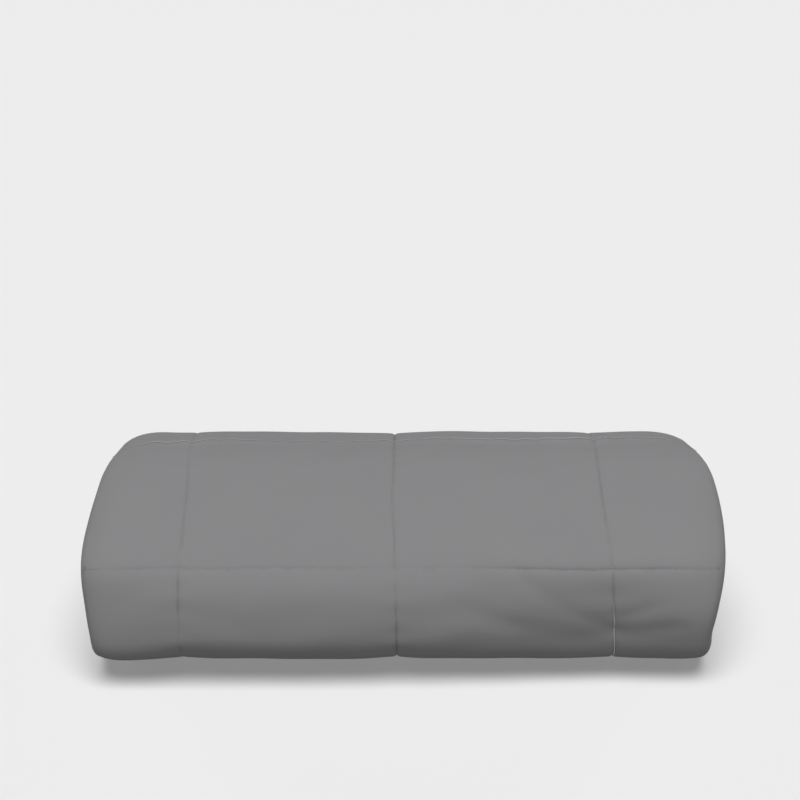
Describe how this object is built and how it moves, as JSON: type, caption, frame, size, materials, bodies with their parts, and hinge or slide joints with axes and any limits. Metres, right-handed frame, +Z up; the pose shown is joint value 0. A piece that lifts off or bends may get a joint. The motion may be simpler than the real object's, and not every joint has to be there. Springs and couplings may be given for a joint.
{
  "type": "rolled quilted bedspread",
  "caption": "Plain grey quilted bedspread, folded in three along its length and rolled up flat, with square stitched blocks and rounded folded sides.",
  "frame": {"origin": "middle of the roll's underside, on the surface that it rests on", "axes": "+X along the roll, from its left end to its right end seen from the front; -Y towards the front; +Z up"},
  "size_m": [0.9122, 0.476, 0.2671],
  "materials": {
    "quilted_cloth": "smooth brushed microfibre, soft low sheen"
  },
  "bodies": {
    "root": {"bedspread_roll": "quilted_cloth"}
  },
  "joints": []
}
